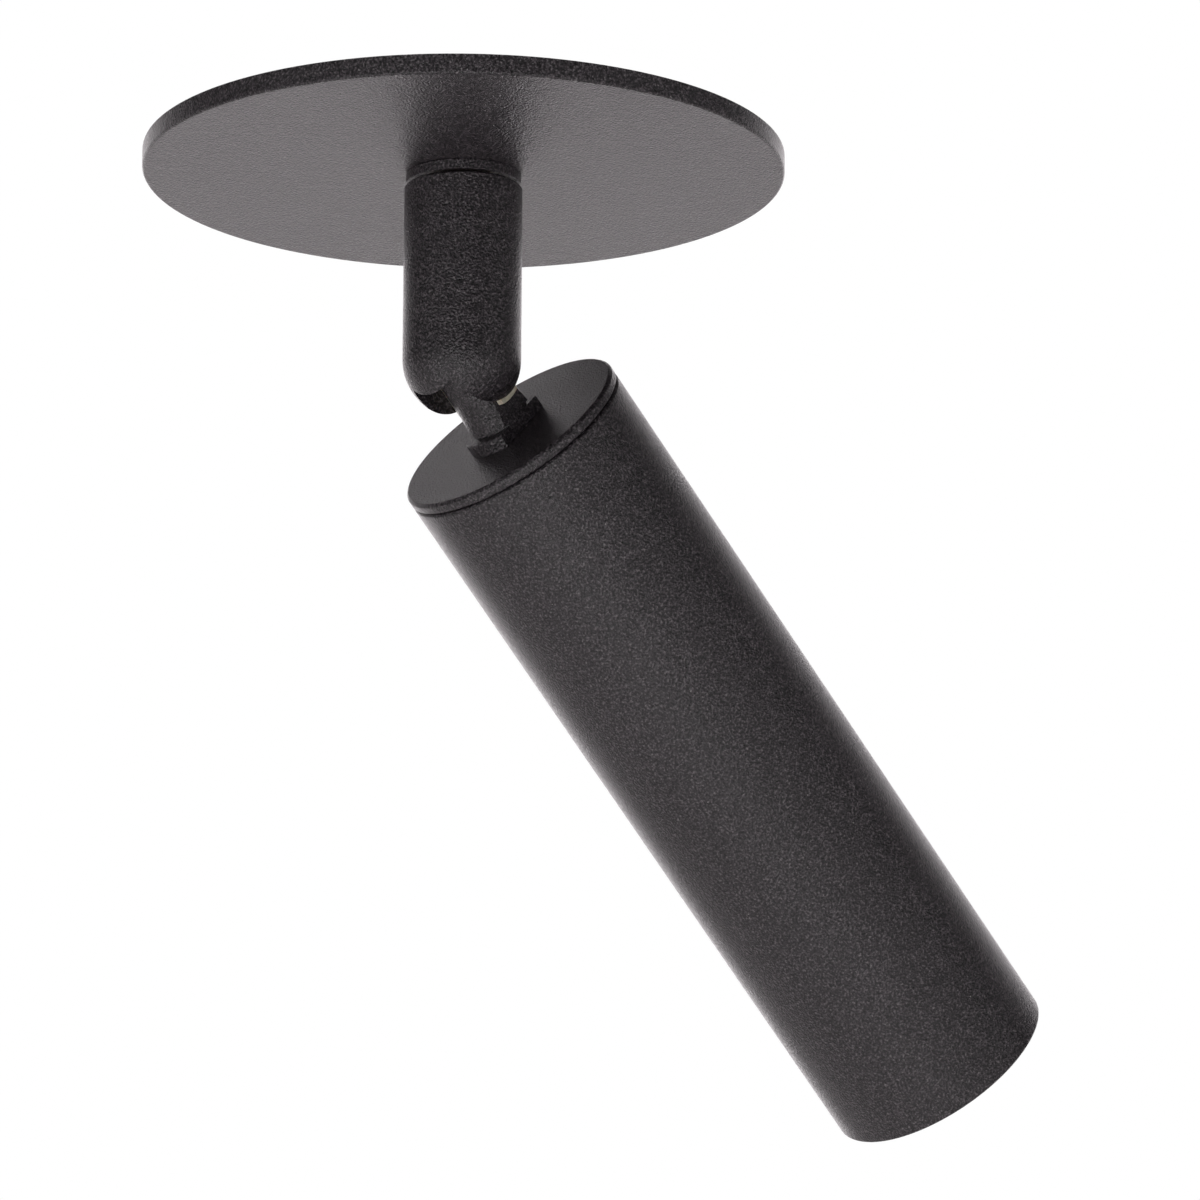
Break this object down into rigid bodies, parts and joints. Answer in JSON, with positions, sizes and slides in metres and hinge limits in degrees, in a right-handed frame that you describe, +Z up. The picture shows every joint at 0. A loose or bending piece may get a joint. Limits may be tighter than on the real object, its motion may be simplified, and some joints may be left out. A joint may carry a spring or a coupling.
{
  "type": "surface mounted ceiling spotlight",
  "caption": "Black cylindrical spotlight on a short swivelling stem under a thin round ceiling plate, with a slotted dome joint that lets the head tilt.",
  "frame": {"origin": "centre of the ceiling plate's upper face, midway between the two ceiling screw slots of the mounting strap", "axes": "+Z up, into the ceiling; the head tilts towards +X about an axis along Y; the strap's two slots lie along Y"},
  "size_m": [0.1781, 0.106, 0.1657],
  "materials": {
    "black_powder_coat": "fine textured black powder coat on aluminium",
    "black_baffle": "matt black paint on aluminium",
    "zinc_plated_steel": "bright zinc plate",
    "spring_steel": "bare spring steel",
    "black_oxide_steel": "black oxide",
    "turned_brass": "turned",
    "cream_nylon": "natural nylon",
    "black_rubber": "moulded",
    "clear_silicone": "translucent",
    "white_plastic": "moulded",
    "circuit_board": "solder mask",
    "transformer_tape": "polyester tape",
    "capacitor_sleeve": "shrunk film",
    "wire_insulation": "silicone rubber",
    "plain_aluminium": "as machined",
    "thermal_pad": "silicone",
    "led_board": "white ceramic",
    "led_phosphor": "silicone over phosphor",
    "bright_reflector": "bright anodised",
    "clear_glass": "polished"
  },
  "bodies": {
    "ceiling_base": {"ceiling_plate": "black_powder_coat", "mounting_strap": "zinc_plated_steel", "plate_spacer": "zinc_plated_steel", "strap_lock_washer": "spring_steel", "strap_lock_nut": "zinc_plated_steel", "collar_ring": "black_powder_coat", "swivel_bolt": "turned_brass", "pan_stop_pin": "spring_steel", "terminal_block": "white_plastic", "terminal_screws": "zinc_plated_steel", "terminal_stud": "zinc_plated_steel", "earth_screw": "turned_brass", "earth_washer": "turned_brass", "supply_leads": "wire_insulation"},
    "stem": {"stem": "black_powder_coat", "stem_retaining_ring": "turned_brass", "wave_washer": "spring_steel", "tilt_screw": "black_oxide_steel", "tilt_spring_washer": "spring_steel"},
    "head": {"knuckle": "black_powder_coat", "friction_pad_front": "cream_nylon", "friction_pad_back": "cream_nylon", "knuckle_washer": "zinc_plated_steel", "knuckle_nut": "zinc_plated_steel", "cable_grommet": "black_rubber", "tube_cap": "black_powder_coat", "tube_body": "black_powder_coat", "driver_sleeve": "white_plastic", "driver_board": "circuit_board", "driver_input_connector": "white_plastic", "driver_output_connector": "white_plastic", "driver_transformer": "transformer_tape", "driver_capacitors": "capacitor_sleeve", "head_leads": "wire_insulation", "heat_sink": "plain_aluminium", "thermal_pad": "thermal_pad", "led_chip": "led_board", "led_phosphor": "led_phosphor", "led_holder": "white_plastic", "led_holder_screws": "zinc_plated_steel", "led_leads": "wire_insulation", "reflector": "bright_reflector", "glass_gasket": "clear_silicone", "front_glass": "clear_glass", "baffle_ring": "black_baffle"}
  },
  "joints": [
    {"name": "stem_turn", "type": "hinge", "parent": "ceiling_base", "child": "stem", "pos_m": [0, 0, -0.0355], "axis": [0, 0, 1], "range_deg": [-165, 165]},
    {"name": "head_tilt", "type": "hinge", "parent": "stem", "child": "head", "pos_m": [0, 0, -0.0355], "axis": [0, -1, 0], "range_deg": [-47.4, 42.6]}
  ]
}
